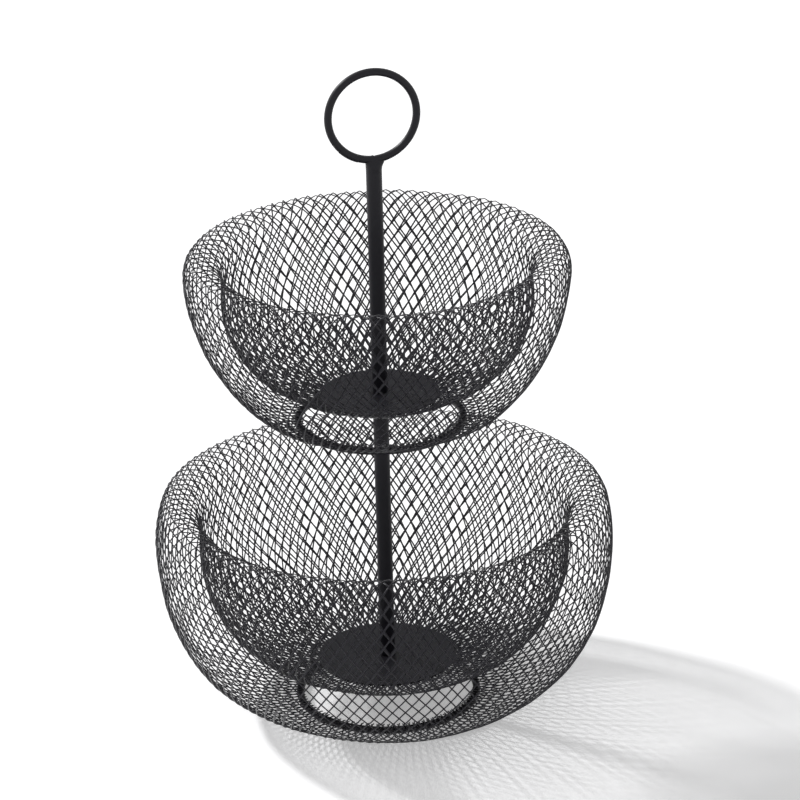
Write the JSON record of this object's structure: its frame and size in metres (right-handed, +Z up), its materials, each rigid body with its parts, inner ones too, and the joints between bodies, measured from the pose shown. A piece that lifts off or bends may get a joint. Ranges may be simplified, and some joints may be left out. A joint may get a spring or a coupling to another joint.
{
  "type": "fruit etagere",
  "caption": "Tiered fruit stand of wire mesh: double-walled round bowls with rolled rims, one over the other on a steel pole with a ring handle.",
  "frame": {"origin": "on the table under the pole's axis, at the underside of the lower base ring", "axes": "+Z up along the pole; the handle ring lies in the XZ plane, so +Y looks through it"},
  "size_m": [0.3012, 0.3012, 0.4372],
  "materials": {
    "lower_mesh_bowl": "satin black powder coat",
    "lower_base_ring": "satin black powder coat",
    "lower_floor_plate": "satin black powder coat",
    "upper_mesh_bowl": "satin black powder coat",
    "upper_base_ring": "satin black powder coat",
    "upper_floor_plate": "satin black powder coat",
    "lower_pole": "satin black powder coat",
    "upper_pole": "satin black powder coat",
    "handle_ring": "satin black powder coat",
    "handle_weld": "satin black powder coat",
    "lower_pole_foot_insert": "bright zinc plate",
    "lower_pole_head_insert": "bright zinc plate",
    "upper_pole_insert": "bright zinc plate",
    "joining_stud": "bright zinc plate",
    "foot_screw": "bright zinc plate",
    "foot_washer": "bright zinc plate",
    "pole_top_plug": "bright zinc plate"
  },
  "bodies": {
    "root": {"lower_mesh_bowl": "lower_mesh_bowl", "lower_base_ring": "lower_base_ring", "lower_floor_plate": "lower_floor_plate", "upper_mesh_bowl": "upper_mesh_bowl", "upper_base_ring": "upper_base_ring", "upper_floor_plate": "upper_floor_plate", "lower_pole": "lower_pole", "upper_pole": "upper_pole", "handle_ring": "handle_ring", "handle_weld": "handle_weld", "lower_pole_foot_insert": "lower_pole_foot_insert", "lower_pole_head_insert": "lower_pole_head_insert", "upper_pole_insert": "upper_pole_insert", "joining_stud": "joining_stud", "foot_screw": "foot_screw", "foot_washer": "foot_washer", "pole_top_plug": "pole_top_plug"}
  },
  "joints": []
}
